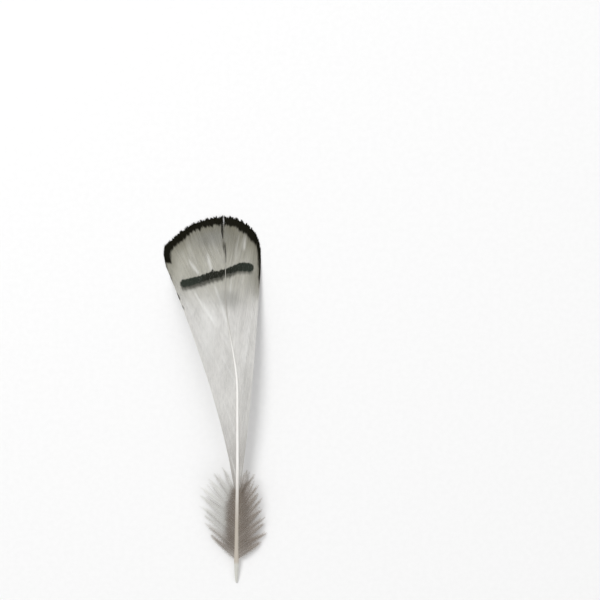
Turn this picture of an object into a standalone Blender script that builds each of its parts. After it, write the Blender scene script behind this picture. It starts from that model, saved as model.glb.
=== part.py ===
"""One small pheasant's tippet feather, lying with its outer side up.

The feather is one solid, as it grew: a tapered shaft, two vanes parted into locks along
their rims, and the downy locks at the foot of the shaft. The design frame has the end of
the quill at its origin, with +Y towards the tip and +Z up. At the end the whole feather is
moved, so that the origin is on the resting surface under the middle of its box.
"""

import math
import random

import bmesh
import bpy
from mathutils import Vector

MM = 0.001

# Driving sizes of the whole feather
LENGTH = 80 * MM
ARCH = 5 * MM  # how far the middle of the shaft stands off the surface
ARCH_POWER = 1.1  # over 1 puts the highest point past the middle, towards the tip

# The shaft, seen from above: straight, and then swung to the left near the tip
BOW = 0.4 * MM
BOW_END = 30 * MM
SWING = -3.2 * MM
SWING_START = 42 * MM
SWING_END = 70 * MM
SHAFT_END = 79.3 * MM
SHAFT_POINTS = 26
SHAFT_CROWDING = 1.2  # over 1 crowds the shaft's points towards the end of the quill
# Radius of the shaft at some distances from the end of the quill
SHAFT_RADII = [
    (0, 0.22 * MM),
    (1.6 * MM, 0.34 * MM),
    (4.4 * MM, 0.46 * MM),
    (14 * MM, 0.45 * MM),
    (26 * MM, 0.37 * MM),
    (45 * MM, 0.31 * MM),
    (SHAFT_END, 0.28 * MM),
]

# The vanes
VANE_THICKNESS = 0.35 * MM
ROOT_DEPTH = 0.1 * MM  # a vane starts this far from the shaft's centre line, inside the shaft
VANE_START = {-1: 18.5 * MM, 1: 20 * MM}  # -1 is the left side, and 1 the right
VANE_END = 77.4 * MM
# How fast each vane falls away from the shaft, as metres for each square metre
CAMBER = {-1: 0.0185 / MM, 1: 0.036 / MM}
FLOOR_BLEND = 0.3 * MM  # the vane meets the surface over this height, and then lies flat
# How far the barbs lean from the shaft at their roots, in degrees: lowest, halfway and highest
VANE_LEAN = {-1: (13, 28, 12), 1: (10, 12, 12)}
BARB_BEND = 0.39  # where a barb's middle control point is, as a share of its length
# Where the barbs end, in millimetres, from the lowest one, which is the vane's edge, to the tip
LEFT_RIM = [(-15.2, 68.9), (-15.4, 73.0), (-12.8, 75.6), (-9.9, 77.6), (-6.6, 79.0), (-2.95, 79.5)]
RIGHT_RIM = [(5.1, 69.0), (4.6, 73.0), (3.5, 75.9), (1.8, 77.8), (-0.2, 79.1), (-2.65, 79.5)]

# The down at the foot of the shaft
DOWN_START = {-1: 5.2 * MM, 1: 5.2 * MM}
DOWN_END = 17.6 * MM
DOWN_LEAN = {-1: (50, 42, 26), 1: (58, 42, 26)}
DOWN_CAMBER = {-1: 0.045 / MM, 1: 0.05 / MM}
DOWN_LIFT = 0.7 * MM  # locks of down rise and fall by this much at their tips
LEFT_DOWN_RIM = [(-4.7, 9.2), (-5.8, 12.8), (-6.6, 16.4), (-6.6, 19.6), (-4.9, 22.6), (-2.7, 24.0)]
RIGHT_DOWN_RIM = [(5.0, 8.2), (5.5, 11.8), (5.3, 15.6), (4.6, 18.9), (3.7, 21.6), (2.4, 23.4)]

# The locks
LEFT_LOCKS = 17
RIGHT_LOCKS = 12
DOWN_LOCKS = 12
ROWS = 8
ROW_CROWDING = 1.35  # over 1 crowds the rows of faces towards the tips
NOTCH = 0.86  # neighbouring locks part at about this share of a barb's length
DOWN_NOTCH = 0.5
NOTCH_SPREAD = 0.05
TIP_WIDTH = 0.55  # width of a lock's end, as a share of the lock's width
POINT = 0.7 * MM  # how far the middle of a lock stands past its corners
LENGTH_SPREAD = 0.35 * MM
# Splits in the vanes, as the lock below each and how far up the barb it starts
LEFT_SPLITS = {6: 0.72}
RIGHT_SPLITS = {7: 0.74}
MERGE = 0.001 * MM
SEED = 7


def smooth_step(value, start, end):
    share = min(1.0, max(0.0, (value - start) / (end - start)))
    return share * share * (3 - 2 * share)


def between(values, share):
    """The value at a share of the way along evenly spaced values."""
    place = share * (len(values) - 1)
    first = min(int(place), len(values) - 2)
    return values[first] + (values[first + 1] - values[first]) * (place - first)


def above_floor(height):
    """The height itself where it is clear of the surface, and 0 where it would be under it."""
    if height <= -FLOOR_BLEND:
        return 0.0
    if height >= FLOOR_BLEND:
        return height
    return (height + FLOOR_BLEND) ** 2 / (4 * FLOOR_BLEND)


def shaft_radius(y):
    for (y0, r0), (y1, r1) in zip(SHAFT_RADII, SHAFT_RADII[1:]):
        if y <= y1:
            return r0 + (r1 - r0) * max(0.0, y - y0) / (y1 - y0)
    return SHAFT_RADII[-1][1]


def shaft_point(y):
    """The shaft's centre line at a distance along the feather."""
    x = BOW * smooth_step(y, 0, BOW_END) + SWING * smooth_step(y, SWING_START, SWING_END)
    arch = ARCH * math.sin(math.pi * min(1.0, max(0.0, y / LENGTH)) ** ARCH_POWER)
    return Vector((x, y, shaft_radius(y) + arch))


def shaft_direction(y):
    step = 0.2 * MM
    ahead = shaft_point(y + step) - shaft_point(y - step)
    return Vector((ahead.x, ahead.y)).normalized()


def on_rim(rim, share):
    """A point of the smooth curve through the rim's points, with share from 0 to 1."""
    place = share * (len(rim) - 1)
    first = min(int(place), len(rim) - 2)
    part = place - first
    before = Vector(rim[max(first - 1, 0)])
    start = Vector(rim[first])
    end = Vector(rim[first + 1])
    after = Vector(rim[min(first + 2, len(rim) - 1)])
    curve = 2 * start + (end - before) * part
    curve += (2 * before - 5 * start + 4 * end - after) * part**2
    curve += (3 * start - before - 3 * end + after) * part**3
    return curve / 2 * MM


def vane_height(x, y, camber):
    """Height of the underside of a vane over the surface."""
    centre = shaft_point(y)
    aside = x - centre.x
    return above_floor(centre.z - VANE_THICKNESS / 2 - camber * aside * aside)


def barb_point(side, place, along, reach, kind):
    """A point of the barb at `place` on the shaft (0 lowest, 1 highest), `along` its length.

    side is -1 on the left and 1 on the right, and reach lengthens the barb.
    """
    rim = kind["rims"][side]
    start = kind["start"][side]
    root_y = start + (kind["end"] - start) * place
    direction = shaft_direction(root_y)
    outwards = Vector((direction.y, -direction.x)) * side
    centre = shaft_point(root_y)
    root = Vector((centre.x, centre.y)) + outwards * ROOT_DEPTH
    tip = on_rim(rim, place)
    span = tip - root
    tip += span.normalized() * reach
    angle = math.radians(between(kind["lean"][side], place))
    middle = root + (direction * math.cos(angle) + outwards * math.sin(angle)) * span.length * BARB_BEND
    flat = root * (1 - along) ** 2 + middle * 2 * along * (1 - along) + tip * along**2
    return Vector((flat.x, flat.y, vane_height(flat.x, flat.y, kind["camber"][side])))


VANE = {
    "rims": {-1: LEFT_RIM, 1: RIGHT_RIM},
    "start": VANE_START,
    "end": VANE_END,
    "lean": VANE_LEAN,
    "camber": CAMBER,
}
DOWN = {
    "rims": {-1: LEFT_DOWN_RIM, 1: RIGHT_DOWN_RIM},
    "start": DOWN_START,
    "end": DOWN_END,
    "lean": DOWN_LEAN,
    "camber": DOWN_CAMBER,
}


def add_lock(mesh, number, count, side, kind, notches, reach, lift):
    """One lock: a grid that is two faces wide, and free of its neighbours past its notches."""
    made = bmesh.ops.create_grid(mesh, x_segments=2, y_segments=ROWS, size=1)
    for vertex in made["verts"]:
        column = round(vertex.co.x)  # -1 lower edge, 0 middle, 1 upper edge
        row = (vertex.co.y + 1) / 2
        along = 1 - (1 - row) ** ROW_CROWDING
        edges = notches[number : number + 2]
        notch = {-1: edges[0], 0: min(edges), 1: edges[1]}[column]
        free = max(0.0, (along - notch) / (1 - notch)) if column else 0.0
        half = 0.5 * column * (1 - (1 - TIP_WIDTH) * free)
        place = min(1.0, max(0.0, (number + 0.5 + half) / count))
        own = smooth_step(along, notch, 1)
        past = (reach + (0 if column else POINT)) * own
        vertex.co = barb_point(side, place, along, past, kind)
        if lift:
            vertex.co.z = above_floor(vertex.co.z + lift * own)


def make_sheet(name, side, kind, count, notch, splits, lift):
    """The locks of one side, fused where they touch, as an open surface given its thickness."""
    chance = random.Random(f"{name} {SEED}")
    spread = [chance.uniform(-NOTCH_SPREAD, NOTCH_SPREAD) for _ in range(count + 1)]
    notches = [splits.get(i - 1, notch + spread[i]) for i in range(count + 1)]
    mesh = bmesh.new()
    for number in range(count):
        reach = chance.uniform(-LENGTH_SPREAD, LENGTH_SPREAD)
        rise = lift * (1 if number % 2 else -1)
        add_lock(mesh, number, count, side, kind, notches, reach, rise)
    bmesh.ops.remove_doubles(mesh, verts=mesh.verts, dist=MERGE)
    bmesh.ops.recalc_face_normals(mesh, faces=mesh.faces)
    if sum(face.normal.z for face in mesh.faces) < 0:
        bmesh.ops.reverse_faces(mesh, faces=mesh.faces)
    data = bpy.data.meshes.new(name)
    mesh.to_mesh(data)
    mesh.free()
    data.shade_smooth()
    sheet = bpy.data.objects.new(name, data)
    wall = sheet.modifiers.new("thickness", "SOLIDIFY")
    wall.thickness = VANE_THICKNESS
    wall.offset = 1
    return sheet


def make_shaft(collection):
    """The tapered shaft, from the end of the quill to just short of the feather's tip."""
    curve = bpy.data.curves.new("shaft line", "CURVE")
    curve.dimensions = "3D"
    curve.bevel_depth = 1 * MM
    curve.bevel_resolution = 2
    curve.use_fill_caps = True
    line = curve.splines.new("POLY")
    line.points.add(SHAFT_POINTS - 1)
    for i, point in enumerate(line.points):
        y = SHAFT_END * (i / (SHAFT_POINTS - 1)) ** SHAFT_CROWDING
        point.co = (*shaft_point(y), 1)
        point.radius = shaft_radius(y) / curve.bevel_depth
    guide = bpy.data.objects.new("shaft line", curve)
    collection.objects.link(guide)
    bpy.context.view_layer.update()
    graph = bpy.context.evaluated_depsgraph_get()
    data = bpy.data.meshes.new_from_object(guide.evaluated_get(graph))
    mesh = bmesh.new()
    mesh.from_mesh(data)
    bmesh.ops.remove_doubles(mesh, verts=mesh.verts, dist=MERGE)
    mesh.to_mesh(data)
    mesh.free()
    shaft = bpy.data.objects.new("feather", data)
    data.shade_smooth()
    shaft.matrix_world = guide.matrix_world
    bpy.data.objects.remove(guide)
    return shaft


def feather_material():
    material = bpy.data.materials.new("feather")
    material.use_nodes = True
    shader = material.node_tree.nodes["Principled BSDF"]
    shader.inputs["Base Color"].default_value = (0.62, 0.61, 0.58, 1)
    shader.inputs["Roughness"].default_value = 0.6
    shader.inputs["Metallic"].default_value = 0.0
    return material


def join_to(shaft, sheet, collection):
    collection.objects.link(sheet)
    sheet.hide_render = True
    sheet.display_type = "WIRE"
    union = shaft.modifiers.new("join " + sheet.name, "BOOLEAN")
    union.operation = "UNION"
    union.solver = "EXACT"
    union.use_self = True
    union.object = sheet


def centre_on_box(objects, feather):
    """Moves everything together, until the origin is on the floor under the feather's middle."""
    holder = bpy.data.objects.new("feather frame", None)
    bpy.context.scene.collection.objects.link(holder)
    for obj in objects:
        obj.parent = holder
    bpy.context.view_layer.update()
    solid = feather.evaluated_get(bpy.context.evaluated_depsgraph_get())
    corners = [Vector(corner) for corner in solid.bound_box]
    low = Vector(min(c[i] for c in corners) for i in range(3))
    high = Vector(max(c[i] for c in corners) for i in range(3))
    holder.location = (-(low.x + high.x) / 2, -(low.y + high.y) / 2, -low.z)


def main():
    for obj in list(bpy.data.objects):
        bpy.data.objects.remove(obj)
    parts = bpy.data.collections.new("feather")
    joined = bpy.data.collections.new("joined shapes")
    for collection in (parts, joined):
        bpy.context.scene.collection.children.link(collection)

    shaft = make_shaft(joined)
    parts.objects.link(shaft)
    shaft.data.materials.clear()
    shaft.data.materials.append(feather_material())

    sheets = [
        make_sheet("left vane", -1, VANE, LEFT_LOCKS, NOTCH, LEFT_SPLITS, 0),
        make_sheet("right vane", 1, VANE, RIGHT_LOCKS, NOTCH, RIGHT_SPLITS, 0),
        make_sheet("left down", -1, DOWN, DOWN_LOCKS, DOWN_NOTCH, {}, DOWN_LIFT),
        make_sheet("right down", 1, DOWN, DOWN_LOCKS, DOWN_NOTCH, {}, DOWN_LIFT),
    ]
    for sheet in sheets:
        join_to(shaft, sheet, joined)
    centre_on_box([shaft, *sheets], shaft)


main()
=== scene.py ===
"""The looks of one pheasant's tippet feather, lying on a pale floor and seen from above.

Sizes are in millimetres and are measured from the end of the quill, with +Y towards the tip,
until a piece's mesh is made.
"""

import math

import bpy
import numpy as np
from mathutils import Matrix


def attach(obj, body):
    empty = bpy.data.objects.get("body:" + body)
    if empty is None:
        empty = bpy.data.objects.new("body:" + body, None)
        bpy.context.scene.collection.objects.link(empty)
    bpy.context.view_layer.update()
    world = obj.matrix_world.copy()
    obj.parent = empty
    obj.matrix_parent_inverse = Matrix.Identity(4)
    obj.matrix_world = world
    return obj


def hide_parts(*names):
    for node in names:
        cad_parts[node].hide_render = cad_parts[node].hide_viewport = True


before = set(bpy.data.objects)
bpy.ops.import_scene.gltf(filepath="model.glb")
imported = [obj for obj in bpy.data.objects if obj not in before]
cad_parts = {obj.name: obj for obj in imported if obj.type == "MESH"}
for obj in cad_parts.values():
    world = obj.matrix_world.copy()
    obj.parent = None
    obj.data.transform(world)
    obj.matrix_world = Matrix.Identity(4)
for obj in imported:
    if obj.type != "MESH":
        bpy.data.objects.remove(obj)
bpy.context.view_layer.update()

MM = 0.001
LEFT, RIGHT = -1, 1
# Where the end of the quill is in the frame
QUILL_END = (4.642, -40.208, 0.0)

# The whole feather
LENGTH = 80
ARCH = 5
ARCH_POWER = 1.1
FLOOR_BLEND = 0.3

# The shaft
BOW, BOW_END = 0.4, 30
# Two turns to the left: how far, and between which heights
SWINGS = [(-2.7, 42, 64), (-0.55, 68, 77)]
SHAFT_END = 79.0
# Heights and the radius at each: of the solid, which sets how high the shaft lies, and as it looks
SOLID_RADII = ([0, 1.6, 4.4, 14, 26, 45, 79.3], [0.22, 0.34, 0.46, 0.45, 0.37, 0.31, 0.28])
SHAFT_RADII = (
    [0, 0.5, 1.6, 4.4, 8, 14, 25, 40, 50, 60, 70, SHAFT_END],
    [0.2, 0.27, 0.38, 0.54, 0.47, 0.41, 0.34, 0.26, 0.19, 0.11, 0.07, 0.04],
)
# The step over which the shaft's direction is measured
DIRECTION_STEP = 0.2
SHAFT_RINGS = 150
SHAFT_CROWDING = 1.15  # over 1 crowds the rings towards the quill
SHAFT_SIDES = 20
QUILL_CAP, TIP_CAP = 0.12, 0.1
# The groove along the underside, and by what share the shaft is taller than wide there
GROOVE_START, GROOVE_FULL = 14, 26
GROOVE_DEPTH = 0.45
GROOVE_WIDTH = 0.12
GROOVED_RISE = 0.1

# The vanes
SOLID_WALL = 0.35
VANE_START = {LEFT: 16.8, RIGHT: 17.4}
VANE_END = 77.4
VANE_CAMBER = {LEFT: 0.0185, RIGHT: 0.036}
# The angle in degrees at which the lowest, the middle and the highest barb leave the shaft
VANE_LEAN = {LEFT: (6.5, 28, 12), RIGHT: (8, 12, 12)}
VANE_RIM = {
    LEFT: [(-15.5, 69.4), (-15.9, 73.3), (-13.3, 76.1), (-10.2, 78.3), (-6.7, 79.7), (-2.9, 80.3)],
    RIGHT: [(5.32, 69.2), (5.2, 73.6), (4.1, 76.7), (2.1, 78.7), (-0.2, 79.9), (-2.76, 80.3)],
}
# How far from the shaft's middle the barbs start, as a share of its radius, and where they bend
ROOT_SHARE = 0.4
BARB_BEND = 0.39
# How far the barbs turn outwards, so that the lowest end along the side edge
BARB_FAN = {LEFT: 0.45, RIGHT: 0.2}
# The step over which the side edge's outward direction is measured
EDGE_STEP = 0.02
VANE_BARBS = {LEFT: 250, RIGHT: 190}
FIRST_ROOT = 0.008
ROOT_SCATTER = 0.15
# The scatter in where barbs end along the side edge, and how far past the rim the others reach
SIDE_ENDS = (0.985, 1.01)
RIM_REACH = (-0.3, 0.12)
BARB_POINTS = 48
BARB_CROWDING = 1.55  # over 1 crowds a barb's points towards its tip
# How far barbs wander from their place: in waves along them, and each by itself near its tip
RIPPLE = 0.002
LOOSENESS = 0.0011
# Locks: their number, how far their points stand out, and how far and from where they part
VANE_LOCKS = {LEFT: 17, RIGHT: 12}
LOCK_POINT = 0.34
LOCK_GAP = 0.02
LOCK_GAP_START = (0.93, 0.985)
LOCK_GAP_FADE = 1.6
# A barb's section: its sides, how flat it is, how far it overlaps the next, how it narrows at its
# tip, and the least and greatest space between barbs that it fills
BARB_SIDES = 6
BARB_FLATNESS = 0.42
BARB_OVERLAP = 1.15
RIM_OVERLAP = 1.0
TIP_WIDTH, TIP_LENGTH = 0.45, 0.32
BARB_SPACINGS = (0.04, 0.5)
# Heights over the underside of the solid, and the least height over the floor
BARB_RISE = 0.12
OWN_RISE = 0.012
BILLOW = 0.1
LOWEST_BARB = 0.04

# The down
DOWN_START = {LEFT: 5.2, RIGHT: 5.2}
DOWN_END = 20.0
DOWN_CAMBER = {LEFT: 0.045, RIGHT: 0.05}
DOWN_LEAN = {LEFT: (50, 42, 26), RIGHT: (58, 42, 26)}
DOWN_RIM = {
    LEFT: [(-4.7, 9.2), (-5.8, 12.8), (-6.6, 16.4), (-6.6, 19.8), (-4.7, 23.0), (-2.2, 25.0)],
    RIGHT: [(5.0, 8.2), (5.5, 11.8), (5.3, 15.6), (4.6, 19.1), (3.5, 22.3), (2.0, 24.8)],
}
DOWN_BARBS = {LEFT: 84, RIGHT: 84}
DOWN_POINTS = 24
DOWN_SCATTER = 0.3
DOWN_REACH = (-1.0, 0.5)
DOWN_HALF_WIDTH = 0.05
# Locks: their number and widths, how far their barbs draw together, and how far they stand out
DOWN_LOCKS = {LEFT: 9, RIGHT: 11}
DOWN_LOCK_WIDTHS = (0.6, 1.4)
DOWN_DRAWN = (0.3, 0.85)
DOWN_POINT = 0.9
DOWN_LOCK_REACH = 0.3
# Heights over the underside of the solid: of all, of single barbs and of every other lock, and
# the least height over the floor
DOWN_LIFT = 0.1
DOWN_LAYER = (-0.2, 0.5)
DOWN_LOCK_RISE = (-0.12, 0.18)
LOWEST_DOWN = 0.06
DOWN_SIDES = 5
DOWN_FLATNESS = 0.8
BARBULE_SPACING = 0.085
BARBULE_LENGTH = 1.25
BARBULE_RADIUS = 0.014
# How pale the outer half of the down is, how long its barbules are, and how wide its dark core is
DOWN_PALE = {LEFT: 1.0, RIGHT: 0.1}
DOWN_FLUFF = {LEFT: 0.8, RIGHT: 0.88}
DOWN_CORE = 2.4

# The dark bar across the fan: its centre line, its half width there and a nick on its upper side
BAR_LINE = [
    (-11.5, 65.62), (-10.2, 65.92), (-8.6, 66.35), (-6.9, 66.85), (-5.15, 67.35), (-3.7, 67.72),
    (-2.6, 68.1), (-1.6, 68.4), (-0.4, 68.84), (0.7, 69.14), (2.0, 69.33), (2.95, 69.08),
]
BAR_HALF = [0.82, 0.82, 0.74, 0.72, 0.76, 0.7, 0.62, 0.6, 0.74, 0.82, 0.9, 0.88]
BAR_NICK = ([(-5.2, 67.9), (-5.15, 68.6)], [0.3, 0.1])
# The grey fringe that hangs below the bar: how far, and its half width
FRINGE = 0.9
FRINGE_HALF = [0.6, 0.74, 0.76, 0.76, 0.76, 0.7, 0.62, 0.56, 0.56, 0.5, 0.5, 0.5]
# The width of the dark edge band at each point of the rim
BAND_WIDTH = {LEFT: [1.2, 1.62, 1.62, 1.5, 1.55, 1.7], RIGHT: [0.44, 0.66, 1.68, 1.85, 1.7, 1.7]}
# Below this height the left band stops bluntly, and a thin line goes on down each side
BAND_FOOT = {LEFT: 70.2, RIGHT: 0.0}
BAND_TAIL = {
    LEFT: ([(-15.6, 70.4), (-15.3, 68.3), (-14.7, 66.2)], [0.1, 0.0, -0.35]),
    RIGHT: ([(5.3, 69.2), (5.15, 67.2), (4.95, 63.6)], [0.44, 0.2, -0.45]),
}
RIM_SAMPLES, BAR_SAMPLES = 36, 40
# Thin streaks with their half widths: dark ones beside the shaft, along the left side and under
# the band, and pale ones, which are painted glints. A streak with a negative half width is faint.
DARK_STREAKS = [
    ([(-3.12, 78.9), (-3.05, 77.0), (-2.92, 75.5)], [0.26, 0.3, 0.08]),
    ([(-2.8, 75.0), (-2.68, 73.8), (-2.52, 72.2)], [0.08, 0.24, 0.08]),
    ([(-2.35, 74.6), (-2.3, 72.5), (-2.2, 70.2)], [0.02, 0.1, 0.02]),
    ([(-14.75, 68.0), (-14.3, 66.4), (-13.75, 64.7)], [0.03, 0.13, 0.03]),
    ([(-13.6, 64.3), (-12.85, 63.0), (-12.2, 62.0)], [0.05, 0.24, 0.05]),
    ([(-11.75, 60.8), (-11.2, 59.8)], [0.08, 0.03]),
    ([(-11.3, 76.2), (-11.15, 75.3), (-10.95, 74.2)], [0.0, -0.02, -0.1]),
    ([(-10.35, 76.8), (-10.15, 76.0), (-9.85, 75.1)], [0.02, -0.02, -0.1]),
    ([(0.9, 78.0), (1.35, 76.3), (1.5, 74.6)], [0.02, -0.03, -0.1]),
]
PAINTED_GLINT_STREAKS = [
    ([(-6.2, 72.0), (-5.9, 70.4), (-5.5, 68.8)], [0.05, 0.34, 0.15]),
    ([(-10.3, 70.6), (-9.3, 69.2), (-8.3, 68.0)], [0.05, 0.3, 0.2]),
    ([(-9.0, 63.6), (-6.8, 60.2), (-4.5, 56.8)], [0.05, 0.28, 0.05]),
    ([(-4.6, 65.0), (-2.9, 60.3), (-1.6, 55.6)], [0.05, 0.22, 0.05]),
    ([(1.95, 75.9), (1.85, 74.6), (1.7, 73.2)], [0.05, 0.14, 0.05]),
]

# Unevenness from barb to barb, as pairs of a step in barbs and a strength
EDGE_WAVES = ((1, 0.09), (4, 0.09), (14, 0.06))
SWAY_WAVES = ((2, 0.25), (6, 0.3))
DOWN_GLOSS_WAVES = ((1, 0.4), (5, 0.5))
# Painted gloss and painted shade along the vane's barbs: a step in barbs, a share of a barb's length
# and a strength
GLOSS_STREAKS = ((1, 0.5, 0.3), (4, 0.16, 0.5), (10, 0.3, 0.5), (34, 0.4, 0.4))
# The first seed of each random choice, to which the side is added
VANE_SEED, EDGE_SEED, GLOSS_SEED = 11, 21, 31
DOWN_SEED, SWAY_SEED, DOWN_GLOSS_SEED, BARBULE_SEED = 51, 61, 71, 5

# Colours of the vanes, and those that take over between two heights, with their share
VANE_FOOT, VANE_MIDDLE = (0.4, 0.38, 0.355), (0.71, 0.7, 0.675)
VANE_PALING = (19, 40)
# The two tones darken the fan towards its tip: painted shade where the tip curves down to the floor
VANE_TONES = [(58, 68, 1.0, (0.455, 0.445, 0.387)), (69, 77, 0.8, (0.2, 0.19, 0.145))]
# The painted highlight and the painted shade that the sheen streaks mix in
GLOSS = (0.9, 0.9, 0.88)
BARB_SHADE = (0.32, 0.32, 0.3)
FINE_SHADE = (0.33, 0.33, 0.32)
BLACK = (0.006, 0.0055, 0.002)
BAR_BROWN, BAR_GREEN = (0.019, 0.0195, 0.014), (0.03, 0.038, 0.029)
BAND_HAZE = (0.16, 0.15, 0.11)
FRINGE_GREY = (0.065, 0.065, 0.052)
GREY, PEARL = (0.26, 0.26, 0.24), (0.93, 0.93, 0.91)
# Soft patches: the middle, how wide and high, the colour and how strong
PATCHES = [
    ((-1.4, 62.2), (3.4, 2.5), GREY, 0.45),
    ((-5.8, 75.8), (5.5, 2.6), GREY, 0.56),
    ((3.6, 65.5), (1.8, 4.0), GREY, 0.13),
    ((-1.5, 47.5), (1.4, 6.5), GREY, 0.12),
    ((1.8, 40.5), (1.8, 7.5), GREY, 0.12),
    ((-6.3, 54.5), (2.4, 8.0), PEARL, 0.3),
]
# Colours of the down
CORE_BROWN, SIDE_BROWN, SIDE_WHITE = (0.33, 0.28, 0.235), (0.43, 0.36, 0.3), (0.96, 0.96, 0.93)
DOWN_TONES = [(9.5, 6.5, 0.3, (0.6, 0.55, 0.5)), (20, 25, 0.6, (0.7, 0.69, 0.66))]
LOCK_SHADE, STEM_BROWN, DOWN_GLOSS = (0.24, 0.2, 0.17), (0.2, 0.17, 0.14), (0.95, 0.94, 0.92)
# Colours of the shaft
QUILL_GREY, HORN_STREAK = (0.66, 0.66, 0.61), (0.5, 0.46, 0.38)
SHAFT_TONES = [
    (4.0, 4.8, 1.0, (0.55, 0.5, 0.43)),
    (12, 28, 1.0, (0.97, 0.96, 0.93)),
    (46, 64, 1.0, (0.4, 0.39, 0.355)),
    (66, 77, 1.0, (0.2, 0.19, 0.15)),
]

# The floor, the light and the camera
FLOOR_SIDE = 4  # metres
FLOOR_TONES = ((0.93, 0.93, 0.93), (0.945, 0.945, 0.945))
# Each lamp's strength in watts, and its width and place in metres
LAMPS = {"key": (4.6, 0.5, (-0.35, 0.45, 0.75)), "fill": (1.3, 0.8, (0.6, -0.3, 0.6))}
SKY_STRENGTH = 0.55
PHOTO_SIDE = 600  # pixels
PHOTO_SCALE = 0.22  # millimetres for each pixel of the photograph
QUILL_PIXEL = (236.5, 582.0)
LENS = 100
SENSOR = 36


def smooth(value, start, end):
    share = np.clip((value - start) / (end - start), 0, 1)
    return share * share * (3 - 2 * share)


def shaft_x(y):
    swung = sum(swing * smooth(y, start, end) for swing, start, end in SWINGS)
    return BOW * smooth(y, 0, BOW_END) + swung


def shaft_z(y):
    """Height of the shaft's centre line."""
    share = np.clip(y / LENGTH, 0, 1) ** ARCH_POWER
    return np.interp(y, *SOLID_RADII) + ARCH * np.sin(math.pi * share)


def above_floor(height):
    blended = (np.clip(height, -FLOOR_BLEND, None) + FLOOR_BLEND) ** 2 / (4 * FLOOR_BLEND)
    return np.where(height >= FLOOR_BLEND, height, blended)


def unit(vectors):
    return vectors / np.linalg.norm(vectors, axis=-1, keepdims=True)


def on_curve(points, share):
    """Points of the smooth curve through some points, with share from 0 to 1."""
    points = np.array(points, float)
    place = np.clip(share, 0, 1) * (len(points) - 1)
    first = np.minimum(place.astype(int), len(points) - 2)
    part = (place - first)[..., None]
    before, start, end, after = (
        points[np.clip(first + i, 0, len(points) - 1)] for i in (-1, 0, 1, 2)
    )
    curve = 2 * start + (end - before) * part
    curve = curve + (2 * before - 5 * start + 4 * end - after) * part**2
    return (curve + (3 * start - before - 3 * end + after) * part**3) / 2


class Kind:
    """The sizes of one side of the vanes or of the down."""

    def __init__(self, side, start, end, rim, lean, camber):
        self.side = side
        self.start = start[side]
        self.end = end
        self.rim = rim[side]
        self.lean = lean[side]
        self.camber = camber[side]

    def flat(self, place, along, reach=0.0):
        """Barb points seen from above: place is 0 at the lowest barb and 1 at the highest.

        Below 0 the points go on past the side edge.
        """
        edge = self.inside(0 * place, along, reach)
        outwards = (edge - self.inside(0 * place + EDGE_STEP, along, reach)) / EDGE_STEP
        return self.inside(place, along, reach) + outwards * np.clip(-place, 0, 1)[..., None]

    def inside(self, place, along, reach):
        place = np.clip(place, 0, 1)
        y = self.start + (self.end - self.start) * place
        ahead = shaft_x(y + DIRECTION_STEP) - shaft_x(y - DIRECTION_STEP)
        forward = unit(np.stack([ahead, np.full_like(y, 2 * DIRECTION_STEP)], -1))
        outward = np.stack([forward[..., 1], -forward[..., 0]], -1) * self.side
        aside = ROOT_SHARE * np.interp(y, *SHAFT_RADII)
        root = np.stack([shaft_x(y), y], -1) + outward * aside[..., None]
        tip = on_curve(self.rim, place)
        span = tip - root
        length = np.linalg.norm(span, axis=-1, keepdims=True)
        tip = tip + span / length * np.asarray(reach)[..., None]
        angle = np.radians(np.interp(place, (0, 0.5, 1), self.lean))[..., None]
        middle = root + (forward * np.cos(angle) + outward * np.sin(angle)) * length * BARB_BEND
        t = along[..., None]
        return root * (1 - t) ** 2 + middle * 2 * t * (1 - t) + tip * t**2

    def underside(self, flat):
        """Height of the solid's underside under points seen from above."""
        x, y = flat[..., 0], flat[..., 1]
        aside = x - shaft_x(y)
        return above_floor(shaft_z(y) - SOLID_WALL / 2 - self.camber * aside**2)


def vane_kind(side):
    return Kind(side, VANE_START, VANE_END, VANE_RIM, VANE_LEAN, VANE_CAMBER)


def down_kind(side):
    return Kind(side, DOWN_START, DOWN_END, DOWN_RIM, DOWN_LEAN, DOWN_CAMBER)


def along_line(points, line, halves):
    """How far inside a band about a line some points are, in millimetres. It is negative outside."""
    line = np.array(line, float)
    best = np.full(points.shape[:-1], -1e9)
    for i in range(len(line) - 1):
        run = line[i + 1] - line[i]
        share = np.clip(((points - line[i]) @ run) / (run @ run), 0, 1)
        distance = np.linalg.norm(points - line[i] - share[..., None] * run, axis=-1)
        half = halves[i] + (halves[i + 1] - halves[i]) * share
        best = np.maximum(best, half - distance)
    return best


def most_inside(points, lines):
    return np.maximum.reduce([along_line(points, line, halves) for line, halves in lines])


def waves(count, seed, octaves):
    """A smooth random number for each of some barbs: octaves are pairs of a step and a strength."""
    chance = np.random.default_rng(seed)
    total = np.zeros(count)
    for step, strength in octaves:
        knots = chance.normal(0, strength, int(count / step) + 3)
        total += np.interp(np.arange(count) / step, np.arange(len(knots)), knots)
    return total


def streaky(count, along, seed, octaves):
    """Random numbers that change slowly along each barb.

    The octaves are a step in barbs, a share of a barb's length and a strength.
    """
    chance = np.random.default_rng(seed)
    total = np.zeros_like(along)
    barb = np.arange(count)[:, None] + 0 * along
    for step, share, strength in octaves:
        knots = chance.normal(0, strength, (int(count / step) + 3, int(1 / share) + 3))
        across, ahead = barb / step, along / share
        i, j = across.astype(int), ahead.astype(int)
        u, v = smooth(across - i, 0, 1), smooth(ahead - j, 0, 1)
        low = knots[i, j] * (1 - v) + knots[i, j + 1] * v
        high = knots[i + 1, j] * (1 - v) + knots[i + 1, j + 1] * v
        total += low * (1 - u) + high * u
    return total


def parted(place, along, count, chance):
    """Where barbs are once the locks have parted near the rim."""
    moved = place.copy()
    for edge in range(1, count):
        opening = chance.uniform(0.0, LOCK_GAP) / count
        start = chance.uniform(*LOCK_GAP_START)
        away = place - edge / count
        fade = np.exp(-np.abs(away) * count * LOCK_GAP_FADE)
        moved += np.sign(away) * opening / 2 * fade * smooth(along, start, 1)
    return moved


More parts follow.
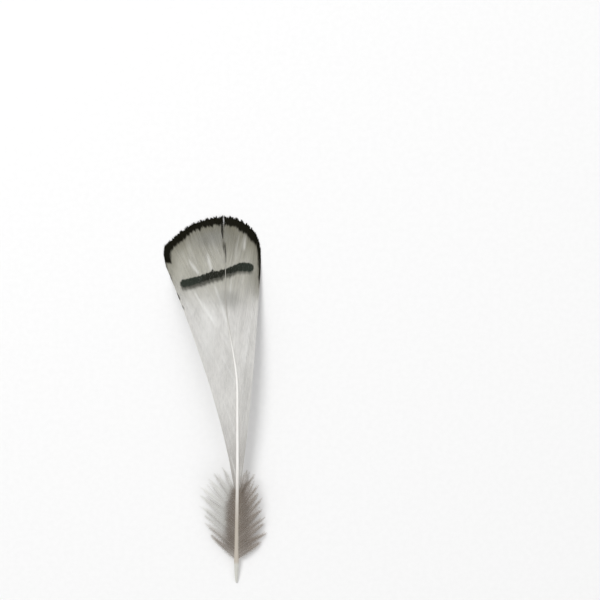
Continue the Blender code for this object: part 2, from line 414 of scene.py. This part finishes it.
def fanned(root, along, side):
    """The place of barbs that start at some places on the shaft and turn outwards as they go."""
    return root - BARB_FAN[side] * (1 - root) * along**2


def vane_barbs(side, chance):
    """The place where each barb of a vane starts, the share of its line it has, and its reach.

    A barb that ends along the side edge has only the first part of its line, and no reach.
    """
    count = VANE_BARBS[side]
    root = (np.arange(count) + 0.5 + chance.uniform(-ROOT_SCATTER, ROOT_SCATTER, count)) / count
    root = FIRST_ROOT + (1 - FIRST_ROOT) * root
    last = np.sqrt(root / (BARB_FAN[side] * (1 - root)))
    on_rim = last >= 1
    last = np.minimum(last * chance.uniform(*SIDE_ENDS, count), 1)
    point = (root * VANE_LOCKS[side]) % 1
    reach = np.where(on_rim, chance.uniform(*RIM_REACH, count) + LOCK_POINT * point, 0)
    return root, last, reach


def half_widths(kind, flat, along, roots):
    """Half the width of a vane's barbs, from the space between them, narrower at the tips."""
    side = kind.side
    step = 0.5 / VANE_BARBS[side]
    above = kind.flat(fanned(roots + step, along, side), along)
    below = kind.flat(fanned(roots - step, along, side), along)
    run = unit(np.gradient(kind.flat(fanned(roots, along, side), along), axis=1))
    beside = above - below
    spacing = np.abs(beside[..., 0] * run[..., 1] - beside[..., 1] * run[..., 0])
    gaps = np.linalg.norm(np.diff(flat, axis=1), axis=-1)
    to_tip = np.zeros_like(along)
    to_tip[:, :-1] = np.cumsum(gaps[:, ::-1], axis=1)[:, ::-1]
    narrow = TIP_WIDTH + (1 - TIP_WIDTH) * smooth(to_tip, 0, TIP_LENGTH)
    overlap = BARB_OVERLAP + RIM_OVERLAP * smooth(along, 0.8, 1)
    return np.clip(spacing, *BARB_SPACINGS) / 2 * overlap * narrow


def vane_markings(kind, flat, along):
    """How far inside each of its markings every point of a vane is, and its painted gloss and painted
    glints.
    """
    side, count = kind.side, VANE_BARBS[kind.side]
    jitter = waves(count, EDGE_SEED + side, EDGE_WAVES)[:, None]
    shifted = flat + np.stack([np.zeros_like(jitter), jitter], -1)
    rim_shares = np.linspace(0, 1, RIM_SAMPLES)
    rim_width = np.interp(rim_shares, np.linspace(0, 1, len(kind.rim)), BAND_WIDTH[side])
    band = along_line(shifted, on_curve(kind.rim, rim_shares), rim_width)
    band = np.minimum(band, flat[..., 1] - BAND_FOOT[side])
    band = np.maximum(band, along_line(shifted, *BAND_TAIL[side]))
    bar_shares = np.linspace(0, 1, BAR_SAMPLES)
    bar_line = on_curve(BAR_LINE, bar_shares)
    bar_half = on_curve(np.array(BAR_HALF)[:, None], bar_shares)[:, 0]
    fringe_half = on_curve(np.array(FRINGE_HALF)[:, None], bar_shares)[:, 0]
    return {
        "band": band + jitter / 2,
        "bar": most_inside(flat * 0.25 + shifted * 0.75, [(bar_line, bar_half), BAR_NICK]),
        "fringe": along_line(shifted + np.array([0, FRINGE]), bar_line, fringe_half),
        "streak": most_inside(flat, DARK_STREAKS),
        "pale": smooth(most_inside(flat, PAINTED_GLINT_STREAKS), -0.4, 0.35),
        "painted_sheen": streaky(count, along, GLOSS_SEED + side, GLOSS_STREAKS),
    }


def vane_guides(side):
    """The vane's barbs as lines, with what the sweep and the material need at each point."""
    kind = vane_kind(side)
    chance = np.random.default_rng(VANE_SEED + side)
    root, last, reach = vane_barbs(side, chance)
    steps = 1 - (1 - np.linspace(0, 1, BARB_POINTS)) ** BARB_CROWDING
    along = last[:, None] * steps
    roots = root[:, None] + 0 * along
    places = fanned(roots, along, side)
    ripple = RIPPLE * np.sin(along * 9 + roots * 23 + side)
    ripple *= smooth(along, 0.1, 0.5) * smooth(places, 0, 0.1)
    loose = chance.normal(0, LOOSENESS, len(root))[:, None] * smooth(steps, 0.8, 1)
    moved = parted(places, along, VANE_LOCKS[side], chance) + ripple + loose
    flat = kind.flat(moved, along, reach[:, None] + 0 * along)

    own_rise = chance.normal(0, OWN_RISE, len(root))[:, None] * smooth(along, 0.1, 0.4)
    height = kind.underside(flat) + BARB_RISE + own_rise
    billow = BILLOW * np.sin(places * 9 + along * 5 + side) * smooth(along, 0.2, 0.7)
    height = height + billow * smooth(height, 0.2, 1.2)
    points = np.concatenate([flat, np.maximum(height, LOWEST_BARB)[..., None]], -1)
    fields = vane_markings(kind, flat, along)
    fields["half_width"] = half_widths(kind, flat, along, roots)
    return points, fields


def down_locks(side, place, chance):
    """The lock that each down barb is in, how far across it the barb is, and the lock's middle."""
    count = DOWN_LOCKS[side]
    edges = np.concatenate([[0], np.cumsum(chance.uniform(*DOWN_LOCK_WIDTHS, count))])
    edges /= edges[-1]
    lock = np.minimum(np.searchsorted(edges, place, side="right") - 1, count - 1)
    within = (place - edges[lock]) / (edges[lock + 1] - edges[lock])
    return lock, within, (edges[lock] + edges[lock + 1]) / 2


def down_guides(side):
    """The down's barbs as lines, with what the sweep and the material need at each point."""
    kind = down_kind(side)
    count = DOWN_BARBS[side]
    chance = np.random.default_rng(DOWN_SEED + side)
    place = (np.arange(count) + 0.5 + chance.uniform(-DOWN_SCATTER, DOWN_SCATTER, count)) / count
    lock, within, middle = down_locks(side, place, chance)
    along = np.broadcast_to(np.linspace(0, 1, DOWN_POINTS), (count, DOWN_POINTS)).copy()
    drawn = smooth(along, 0.35, 1) * chance.uniform(*DOWN_DRAWN, count)[:, None]
    places = place[:, None] * (1 - drawn) + middle[:, None] * drawn
    point = DOWN_POINT * (1 - np.abs(2 * within - 1))
    reach = chance.uniform(*DOWN_REACH, count) + point
    reach += chance.normal(0, DOWN_LOCK_REACH, DOWN_LOCKS[side])[lock]
    flat = kind.flat(places, along, reach[:, None] + 0 * along)
    sway = waves(count, SWAY_SEED + side, SWAY_WAVES)[:, None] * smooth(along, 0.3, 1)
    flat[..., 0] += sway * np.sin(along * 5 + place[:, None] * 40)
    flat[..., 1] += 0.4 * sway
    layer = chance.uniform(*DOWN_LAYER, count)[:, None] * smooth(along, 0.15, 1)
    rise = np.array(DOWN_LOCK_RISE)[lock % 2][:, None] * smooth(along, 0.4, 1)
    height = above_floor(kind.underside(flat) + DOWN_LIFT + layer + rise) + LOWEST_DOWN
    # A wave from barb to barb for the down's painted sheen
    gloss = waves(count, DOWN_GLOSS_SEED + side, DOWN_GLOSS_WAVES)
    swell = 0.5 + 0.65 * np.sin(math.pi * along**0.8) ** 0.7 - 0.2 * along
    fields = {
        "half_width": DOWN_HALF_WIDTH * (1 - 0.75 * along),
        "fluff": DOWN_FLUFF[side] * swell,
        "aside": np.abs(flat[..., 0] - shaft_x(flat[..., 1])),
        "painted_sheen": gloss[:, None] + 0 * along,
        "pale": DOWN_PALE[side] * smooth(place, 0.02, 0.3)[:, None] + 0 * along,
        "shade": smooth(within, 0.45, 0.1)[:, None] * smooth(along, 0.25, 0.7),
    }
    return np.concatenate([flat, height[..., None]], -1), fields


def facing(points):
    """The direction that each point of a sheet of lines faces, upwards."""
    across = np.gradient(points, axis=0)
    ahead = np.gradient(points, axis=1)
    normal = np.cross(across, ahead)
    normal /= np.maximum(np.linalg.norm(normal, axis=-1, keepdims=True), 1e-9)
    return normal * np.where(normal[..., 2:] < 0, -1, 1)


def add_object(name, data):
    made = bpy.data.objects.new(name, data)
    bpy.context.scene.collection.objects.link(made)
    return made


def in_frame(points):
    """Points in millimetres from the end of the quill, as points of the frame in metres."""
    return ((points.reshape(-1, 3) + np.array(QUILL_END)) * MM).tolist()


def line_object(name, points, fields):
    """An object with a row of edges for each line, and each field as a point attribute."""
    count, length = points.shape[:2]
    order = np.arange(count * length).reshape(count, length)
    edges = np.stack([order[:, :-1], order[:, 1:]], -1).reshape(-1, 2)
    mesh = bpy.data.meshes.new(name)
    mesh.from_pydata(in_frame(points), edges.tolist(), [])
    for field, values in fields.items():
        kind, part = ("FLOAT_VECTOR", "vector") if values.ndim == 3 else ("FLOAT", "value")
        layer = mesh.attributes.new(field, kind, "POINT")
        layer.data.foreach_set(part, values.astype(np.float32).ravel())
    return add_object(name, mesh)


class Tree:
    """Adds nodes to a tree: a node's type, its settings, and the values or links of its sockets."""

    def __init__(self, tree):
        self.tree = tree

    def add(self, kind, settings=None, inputs=None):
        node = self.tree.nodes.new(kind)
        for name, value in (settings or {}).items():
            setattr(node, name, value)
        for name, value in (inputs or {}).items():
            socket = node.inputs[name]
            if isinstance(value, Value):
                value = value.socket
            if isinstance(value, bpy.types.NodeSocket):
                self.tree.links.new(value, socket)
            else:
                socket.default_value = value
        return node

    def value(self, kind, settings=None, inputs=None, output=0):
        return Value(self, self.add(kind, settings, inputs).outputs[output])

    def shape(self, kind, settings=None, inputs=None):
        return self.add(kind, settings, inputs).outputs[0]


class Value:
    """A socket that holds a number, so that sums on it can be written as Python."""

    def __init__(self, tree, socket):
        self.tree = tree
        self.socket = socket

    def math(self, operation, first, second):
        return self.tree.value("ShaderNodeMath", {"operation": operation}, {0: first, 1: second})

    def __add__(self, other):
        return self.math("ADD", self, other)

    __radd__ = __add__

    def __sub__(self, other):
        return self.math("SUBTRACT", self, other)

    def __rsub__(self, other):
        return self.math("SUBTRACT", other, self)

    def __mul__(self, other):
        return self.math("MULTIPLY", self, other)

    __rmul__ = __mul__

    def root(self):
        return self.math("SQRT", self, 0.0)

    def ramp(self, start, end, low=0.0, high=1.0):
        """low where this is at start, high where it is at end, and smooth between."""
        inputs = {"Value": self, "From Min": start, "From Max": end, "To Min": low, "To Max": high}
        return self.tree.value("ShaderNodeMapRange", {"interpolation_type": "SMOOTHSTEP"}, inputs)


def add_inputs(group, kinds):
    for name, kind in kinds.items():
        group.interface.new_socket(name, in_out="INPUT", socket_type="NodeSocket" + kind)


def sweep_tree():
    """Geometry Nodes that sweep a flattened round along lines, as wide as their half_width."""
    group = bpy.data.node_groups.new("barb sweep", "GeometryNodeTree")
    add_inputs(group, {"Lines": "Geometry", "Sides": "Int", "Flatness": "Float", "Finish": "Material"})
    group.interface.new_socket("Barbs", in_out="OUTPUT", socket_type="NodeSocketGeometry")
    tree = Tree(group)
    given = tree.add("NodeGroupInput").outputs
    attribute = "GeometryNodeInputNamedAttribute"
    width = tree.value(attribute, {"data_type": "FLOAT"}, {"Name": "half_width"})
    up = tree.value(attribute, {"data_type": "FLOAT_VECTOR"}, {"Name": "facing"})
    lines = tree.shape("GeometryNodeMeshToCurve", None, {"Mesh": given["Lines"]})
    turned = tree.shape("GeometryNodeSetCurveNormal", {"mode": "FREE"}, {"Curve": lines, "Normal": up})
    inputs = {"Resolution": given["Sides"], "Radius": 1.0}
    circle = tree.shape("GeometryNodeCurvePrimitiveCircle", None, inputs)
    inputs = {"X": given["Flatness"], "Y": 1.0, "Z": 1.0}
    scale = tree.shape("ShaderNodeCombineXYZ", None, inputs)
    section = tree.shape("GeometryNodeTransform", None, {"Geometry": circle, "Scale": scale})
    inputs = {"Curve": turned, "Profile Curve": section, "Scale": width * MM, "Fill Caps": True}
    return tree, given, tree.shape("GeometryNodeCurveToMesh", None, inputs)


def finish_tree(tree, given, shape):
    """Ends a tree: instances made real, smooth faces, and the material."""
    real = tree.shape("GeometryNodeRealizeInstances", None, {"Geometry": shape})
    soft = tree.shape("GeometryNodeSetShadeSmooth", None, {"Geometry": real})
    inputs = {"Geometry": soft, "Material": given["Finish"]}
    painted = tree.shape("GeometryNodeSetMaterial", None, inputs)
    tree.add("NodeGroupOutput", None, {0: painted})
    return tree.tree


def barb_tree():
    return finish_tree(*sweep_tree())


def barbule_turn(tree, seed, tangent):
    """The way each barbule points, forwards and to one side in turn, and its share of full length."""

    def chance(low, high, salt):
        inputs = {2: low, 3: high, "Seed": seed + salt}
        return tree.value("FunctionNodeRandomValue", {"data_type": "FLOAT"}, inputs, 1)

    index = tree.value("GeometryNodeInputIndex")
    turn = index.math("MODULO", index, 2.0) * 2.0 - 1.0
    kind = "ShaderNodeVectorMath"
    side = tree.shape(kind, {"operation": "CROSS_PRODUCT"}, {0: tangent, 1: (0.0, 0.0, 1.0)})
    out = tree.shape(kind, {"operation": "SCALE"}, {0: side, "Scale": turn * chance(0.7, 1.3, 1)})
    lift = tree.shape("ShaderNodeCombineXYZ", None, {"Z": chance(-0.35, 0.45, 2)})
    first = tree.shape(kind, {"operation": "ADD"}, {0: tangent, 1: out})
    aim = tree.shape(kind, {"operation": "ADD"}, {0: first, 1: lift})
    turned = tree.shape("FunctionNodeAlignRotationToVector", {"axis": "Z"}, {"Vector": aim})
    return turned, chance(0.55, 1.15, 3)


def down_tree():
    """The barb sweep, with barbules standing out from both sides of each barb."""
    tree, given, barbs = sweep_tree()
    sizes = {"Spacing": "Float", "Barbule length": "Float", "Barbule radius": "Float", "Seed": "Int"}
    add_inputs(tree.tree, sizes)
    lines = tree.shape("GeometryNodeMeshToCurve", None, {"Mesh": given["Lines"]})
    inputs = {"Curve": lines, "Length": given["Spacing"]}
    dots = tree.add("GeometryNodeCurveToPoints", {"mode": "LENGTH"}, inputs).outputs
    settings = {"data_type": "FLOAT", "domain": "POINT"}
    inputs = {"Geometry": barbs, "Name": "stem", "Value": 1.0}
    marked = tree.shape("GeometryNodeStoreNamedAttribute", settings, inputs)

    turned, spread = barbule_turn(tree, Value(tree, given["Seed"]), dots["Tangent"])
    settings = {"data_type": "FLOAT"}
    fluff = tree.value("GeometryNodeInputNamedAttribute", settings, {"Name": "fluff"})
    length = Value(tree, given["Barbule length"]) * spread * fluff
    inputs = {
        "Resolution": 2,
        "Start": (0.0, 0.0, 0.0),
        "Start Handle": (0.0, 0.0, 0.35),
        "End Handle": (0.12, 0.0, 0.7),
        "End": (0.32, 0.0, 0.95),
    }
    hair = tree.shape("GeometryNodeCurvePrimitiveBezierSegment", None, inputs)
    inputs = {"Points": dots[0], "Instance": hair, "Rotation": turned, "Scale": length}
    placed = tree.shape("GeometryNodeInstanceOnPoints", None, inputs)
    hairs = tree.shape("GeometryNodeRealizeInstances", None, {"Geometry": placed})
    factor = tree.value("GeometryNodeSplineParameter")
    radius = Value(tree, given["Barbule radius"]) * (1.0 - factor * 0.75)
    inputs = {"Resolution": 3, "Radius": 1.0}
    section = tree.shape("GeometryNodeCurvePrimitiveCircle", None, inputs)
    inputs = {"Curve": hairs, "Profile Curve": section, "Scale": radius, "Fill Caps": True}
    barbules = tree.shape("GeometryNodeCurveToMesh", None, inputs)
    both = tree.add("GeometryNodeJoinGeometry")
    tree.tree.links.new(marked, both.inputs[0])
    tree.tree.links.new(barbules, both.inputs[0])
    return finish_tree(tree, given, both.outputs[0])


def grown(guide, tree, values):
    """A plain mesh object of what a Geometry Nodes tree makes of a guide, which is removed."""
    modifier = guide.modifiers.new("grow", "NODES")
    modifier.node_group = tree
    for item in tree.interface.items_tree:
        if item.in_out == "INPUT" and item.name in values:
            modifier[item.identifier] = values[item.name]
    bpy.context.view_layer.update()
    graph = bpy.context.evaluated_depsgraph_get()
    mesh = bpy.data.meshes.new_from_object(guide.evaluated_get(graph))
    name = guide.name
    bpy.data.objects.remove(guide)
    mesh.name = name
    points = np.empty(len(mesh.vertices) * 3, np.float32)
    mesh.vertices.foreach_get("co", points)
    points[2::3] = np.maximum(points[2::3], 0)
    mesh.vertices.foreach_set("co", points)
    mesh.materials.clear()
    mesh.materials.append(values["Finish"])
    return add_object(name, mesh)


def make_vane(name, side, tree, finish):
    points, fields = vane_guides(side)
    fields["facing"] = facing(points)
    guide = line_object(name, points, fields)
    return grown(guide, tree, {"Sides": BARB_SIDES, "Flatness": BARB_FLATNESS, "Finish": finish})


def make_down(name, side, tree, finish):
    points, fields = down_guides(side)
    fields["facing"] = facing(points)
    guide = line_object(name, points, fields)
    values = {
        "Sides": DOWN_SIDES,
        "Flatness": DOWN_FLATNESS,
        "Finish": finish,
        "Spacing": BARBULE_SPACING * MM,
        "Barbule length": BARBULE_LENGTH * MM,
        "Barbule radius": BARBULE_RADIUS * MM,
        "Seed": BARBULE_SEED + side,
    }
    return grown(guide, tree, values)


def shaft_rings():
    """Rings of points along the shaft: round at the quill, then grooved along the underside."""
    y = SHAFT_END * np.linspace(0, 1, SHAFT_RINGS) ** SHAFT_CROWDING
    radius = np.interp(y, *SHAFT_RADII)
    turn = np.arange(SHAFT_SIDES) / SHAFT_SIDES * 2 * math.pi
    grooved = smooth(y, GROOVE_START, GROOVE_FULL)[:, None]
    below = np.clip(-np.sin(turn), 0, 1)[None, :]
    dent = 1 - GROOVE_DEPTH * grooved * np.exp(-((1 - below) / GROOVE_WIDTH))
    across = np.cos(turn)[None, :] * radius[:, None] * dent
    upward = np.sin(turn)[None, :] * radius[:, None] * dent * (1 + GROOVED_RISE * grooved)
    centre = np.stack([shaft_x(y), y, shaft_z(y)], -1)
    ahead = unit(np.gradient(centre, axis=0))
    side = unit(np.cross(ahead, (0, 0, 1)))
    over = np.cross(side, ahead)
    rings = centre[:, None] + side[:, None] * across[..., None] + over[:, None] * upward[..., None]
    rings[..., 2] = np.maximum(rings[..., 2], 0)
    return rings


def make_shaft(finish):
    """A closed tube through the shaft's rings, with a short cone over each end."""
    rings = shaft_rings()
    faces = []
    for ring in range(SHAFT_RINGS - 1):
        for i in range(SHAFT_SIDES):
            a = ring * SHAFT_SIDES + i
            b = ring * SHAFT_SIDES + (i + 1) % SHAFT_SIDES
            faces.append((a, a + SHAFT_SIDES, b + SHAFT_SIDES, b))
    quill_point = rings[0].mean(0) - (0, QUILL_CAP, 0)
    tip_point = rings[-1].mean(0) + (0, TIP_CAP, 0)
    last = (SHAFT_RINGS - 1) * SHAFT_SIDES
    top = SHAFT_RINGS * SHAFT_SIDES
    for i in range(SHAFT_SIDES):
        after = (i + 1) % SHAFT_SIDES
        faces.append((i, after, top))
        faces.append((last + after, last + i, top + 1))
    points = np.concatenate([rings.reshape(-1, 3), [quill_point, tip_point]])
    mesh = bpy.data.meshes.new("shaft")
    mesh.from_pydata(in_frame(points), [], faces)
    mesh.shade_smooth()
    mesh.materials.append(finish)
    return add_object("shaft", mesh)


class Paint(Tree):
    """The nodes of one material around its Principled shader."""

    def __init__(self, name, roughness, specular):
        self.material = bpy.data.materials.new(name)
        self.material.use_nodes = True
        super().__init__(self.material.node_tree)
        self.shader = self.tree.nodes["Principled BSDF"]
        self.shader.inputs["Roughness"].default_value = roughness
        self.shader.inputs["Specular IOR Level"].default_value = specular

    def field(self, name):
        return self.value("ShaderNodeAttribute", {"attribute_name": name}, None, "Fac")

    def place(self):
        """Object coordinates in millimetres from the end of the quill."""
        spot = self.add("ShaderNodeTexCoord").outputs["Object"]
        shift = [-value for value in QUILL_END]
        inputs = {"Vector": spot, "Location": shift, "Scale": (1 / MM,) * 3}
        return self.shape("ShaderNodeMapping", {"vector_type": "POINT"}, inputs)

    def axis(self, place, name):
        return self.value("ShaderNodeSeparateXYZ", None, {0: place}, name)

    def noise(self, place, scale, detail=2.0, stretch=(1, 1, 1)):
        spot = self.shape("ShaderNodeMapping", None, {"Vector": place, "Scale": stretch})
        inputs = {"Vector": spot, "Scale": scale, "Detail": detail}
        return self.value("ShaderNodeTexNoise", None, inputs, "Fac")

    def mix(self, share, first, second):
        """Colour from first to second as share goes from 0 to 1."""
        node = self.add("ShaderNodeMix", {"data_type": "RGBA"}, {0: share})
        for index, colour in ((6, first), (7, second)):
            if isinstance(colour, bpy.types.NodeSocket):
                self.tree.links.new(colour, node.inputs[index])
            else:
                node.inputs[index].default_value = (*colour, 1)
        return node.outputs[2]

    def toned(self, y, base, tones):
        """A colour over which others are laid between two heights, each with its greatest share."""
        for start, end, share, colour in tones:
            base = self.mix(y.ramp(start, end, 0.0, share), base, colour)
        return base

    def colour(self, socket):
        self.tree.links.new(socket, self.shader.inputs["Base Color"])


def vane_finish():
    paint = Paint("vane barbs", roughness=0.55, specular=0.07)
    place = paint.place()
    x, y = paint.axis(place, "X"), paint.axis(place, "Y")
    fine = paint.noise(place, 3.0, 3.0, (1, 0.22, 1))
    broad = paint.noise(place, 0.35, 2.0, (1, 0.5, 1))

    base = paint.mix(y.ramp(*VANE_PALING), VANE_FOOT, VANE_MIDDLE)
    # Painted shade: darker towards the tip, where the fan curves down
    base = paint.toned(y, base, VANE_TONES)
    # Painted sheen: streaks along the barbs are painted towards the highlight colour where lit is high
    # and towards the barb shade where it is low, less so towards the tip
    lit = paint.field("painted_sheen") * 0.5 + broad.ramp(0.35, 0.65, -0.4, 0.45)
    calm = y.ramp(58, 70, 1.0, 0.4)
    base = paint.mix(lit.ramp(0.0, 1.6) * calm * 0.6, base, GLOSS)
    base = paint.mix((0.0 - lit).ramp(0.0, 1.6) * calm * 0.25, base, BARB_SHADE)
    base = paint.mix(fine.ramp(0.35, 0.75) * 0.22, base, FINE_SHADE)
    # Painted glints: pale streaks along the barbs
    base = paint.mix(paint.field("pale") * 0.5, base, PEARL)
    for (at_x, at_y), (wide, high), colour, strength in PATCHES:
        across = (x - at_x) * (1 / wide)
        up = (y - at_y) * (1 / high)
        near = 1.0 - (across * across + up * up).root()
        base = paint.mix(near.ramp(-0.2, 0.8, 0.0, strength), base, colour)

    ends = x.ramp(-3.5, 2.5) + x.ramp(-6.0, -9.0)
    dark = paint.mix(ends * 0.8 + paint.noise(place, 1.4) * 0.2, BAR_BROWN, BAR_GREEN)
    grain = (fine - 0.5) * 0.5
    band = paint.field("band") + grain
    bar = paint.field("bar") + grain * 0.4
    base = paint.mix(band.ramp(-2.6, 0.2) * 0.5, base, BAND_HAZE)
    base = paint.mix(paint.field("fringe").ramp(-0.45, 0.5) * 0.9, base, FRINGE_GREY)
    base = paint.mix(paint.field("streak").ramp(-0.12, 0.08) * 0.9, base, BLACK)
    base = paint.mix(bar.ramp(-0.2, 0.12), base, dark)
    paint.colour(paint.mix(band.ramp(-0.42, 0.22), base, BLACK))
    return paint.material


def down_finish():
    paint = Paint("down barbs", roughness=0.75, specular=0.3)
    place = paint.place()
    y = paint.axis(place, "Y")
    painted_sheen = paint.field("painted_sheen")
    aside = paint.field("aside") + painted_sheen * 0.15 + (paint.noise(place, 0.8) - 0.5) * 0.8
    outer = paint.mix(paint.field("pale"), SIDE_BROWN, SIDE_WHITE)
    past_core = aside + y.ramp(16, 23) * 1.5 - DOWN_CORE
    base = paint.mix(past_core.ramp(-0.8, 0.7), CORE_BROWN, outer)
    base = paint.toned(y, base, DOWN_TONES)
    base = paint.mix(paint.field("shade") * 0.55, base, LOCK_SHADE)
    base = paint.mix(paint.field("stem") * 0.25, base, STEM_BROWN)
    # Painted sheen: paler where a barb's sheen wave is strong
    paint.colour(paint.mix(painted_sheen.ramp(0.3, 1.6) * 0.4, base, DOWN_GLOSS))
    return paint.material


def shaft_finish():
    paint = Paint("shaft horn", roughness=0.34, specular=0.5)
    place = paint.place()
    (start, end, _, horn), *tones = SHAFT_TONES
    y = paint.axis(place, "Y")
    base = paint.toned(y, paint.mix(y.ramp(start, end), QUILL_GREY, horn), tones)
    streaks = paint.noise(place, 6.0, 3.0, (1, 0.08, 1))
    paint.colour(paint.mix(streaks.ramp(0.4, 0.7) * 0.18, base, HORN_STREAK))
    return paint.material


def floor_finish():
    paint = Paint("floor", roughness=0.9, specular=0.1)
    grain = paint.noise(paint.add("ShaderNodeTexCoord").outputs["Object"], 900.0)
    paint.colour(paint.mix(grain.ramp(0.3, 0.7), *FLOOR_TONES))
    return paint.material


def make_floor():
    bpy.ops.mesh.primitive_plane_add(size=FLOOR_SIDE)
    floor = bpy.context.object
    floor.name = "floor"
    floor.data.materials.append(floor_finish())


def light_the_scene():
    for name, (energy, size, spot) in LAMPS.items():
        light = bpy.data.lights.new(name, "AREA")
        light.energy = energy
        light.shape = "DISK"
        light.size = size
        lamp = add_object(name, light)
        lamp.location = spot
        lamp.rotation_euler = lamp.location.to_track_quat("Z", "Y").to_euler()
    world = bpy.data.worlds.new("studio")
    world.use_nodes = True
    sky = world.node_tree.nodes["Background"]
    sky.inputs["Color"].default_value = (1, 1, 1, 1)
    sky.inputs["Strength"].default_value = SKY_STRENGTH
    bpy.context.scene.world = world
    bpy.context.scene.view_settings.view_transform = "Standard"


def make_camera():
    """Straight above, so that the feather falls on its place in the photograph."""
    across = PHOTO_SIDE * PHOTO_SCALE
    x = (PHOTO_SIDE / 2 - QUILL_PIXEL[0]) * PHOTO_SCALE + QUILL_END[0]
    y = (QUILL_PIXEL[1] - PHOTO_SIDE / 2) * PHOTO_SCALE + QUILL_END[1]
    data = bpy.data.cameras.new("camera")
    data.lens = LENS
    data.sensor_width = SENSOR
    data.clip_start = 0.01
    camera = add_object("camera", data)
    camera.location = (x * MM, y * MM, across / SENSOR * LENS * MM)
    bpy.context.scene.camera = camera


make_camera()
make_floor()
light_the_scene()

barb_growth = barb_tree()
down_growth = down_tree()
vane_look = vane_finish()
down_look = down_finish()
pieces = [
    (make_vane("vane_left", LEFT, barb_growth, vane_look), "vane"),
    (make_vane("vane_right", RIGHT, barb_growth, vane_look), "vane"),
    (make_down("down_left", LEFT, down_growth, down_look), "down"),
    (make_down("down_right", RIGHT, down_growth, down_look), "down"),
    (make_shaft(shaft_finish()), "shaft"),
]
for piece, slot in pieces:
    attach(piece, "root")
    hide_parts("feather")
